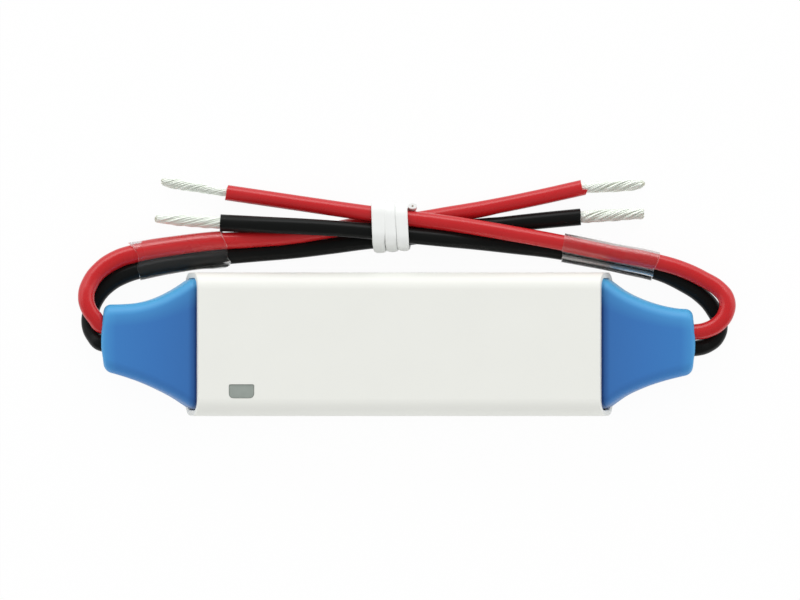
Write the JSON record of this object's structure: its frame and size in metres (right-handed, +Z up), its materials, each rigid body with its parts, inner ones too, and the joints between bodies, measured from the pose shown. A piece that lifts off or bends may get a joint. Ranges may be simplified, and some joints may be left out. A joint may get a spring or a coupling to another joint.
{
  "type": "in-line led controller",
  "caption": "White slant-cut tube controller with blue strain reliefs, a grey status window, and red and black leads bent back and tied, with stripped ends.",
  "frame": {"origin": "middle of the shell's underside, on the table it lies on", "axes": "+X along the shell towards the right pair of leads, +Y across it towards the side that the leads are bent back to, +Z up out of the face with the window"},
  "size_m": [0.1006, 0.0364, 0.0077],
  "materials": {
    "shell": "satin white moulding",
    "window": "grey translucent light guide",
    "strain_relief": "soft blue moulding, satin",
    "board": "green solder mask",
    "led": "pale resin",
    "chip": "moulded black epoxy",
    "tantalum": "moulded yellow epoxy",
    "ceramic": "fired ceramic",
    "solder": "bright solder",
    "red_insulation": "soft insulation, semi-gloss",
    "black_insulation": "soft insulation, semi-gloss",
    "strands": "tinned copper strands",
    "clear_film": "clear soft film",
    "tie_coat": "white coat, satin",
    "tie_wire": "drawn wire"
  },
  "bodies": {
    "root": {"shell": "shell", "indicator_window": "window", "left_strain_relief": "strain_relief", "right_strain_relief": "strain_relief", "circuit_board": "board", "status_led": "led", "microcontroller": "chip", "power_transistor": "chip", "voltage_regulator": "chip", "protection_diode": "chip", "storage_capacitor": "tantalum", "chip_capacitors": "ceramic", "chip_resistors": "chip", "solder_joints": "solder", "left_red_soldered_end": "strands", "left_black_soldered_end": "strands", "right_red_soldered_end": "strands", "right_black_soldered_end": "strands", "left_red_lead": "red_insulation", "right_red_lead": "red_insulation", "left_black_lead": "black_insulation", "right_black_lead": "black_insulation", "left_red_bare_end": "strands", "left_black_bare_end": "strands", "right_red_bare_end": "strands", "right_black_bare_end": "strands", "left_clear_sleeve": "clear_film", "right_clear_sleeve": "clear_film", "twist_tie": "tie_coat", "tie_core": "tie_wire"}
  },
  "joints": []
}
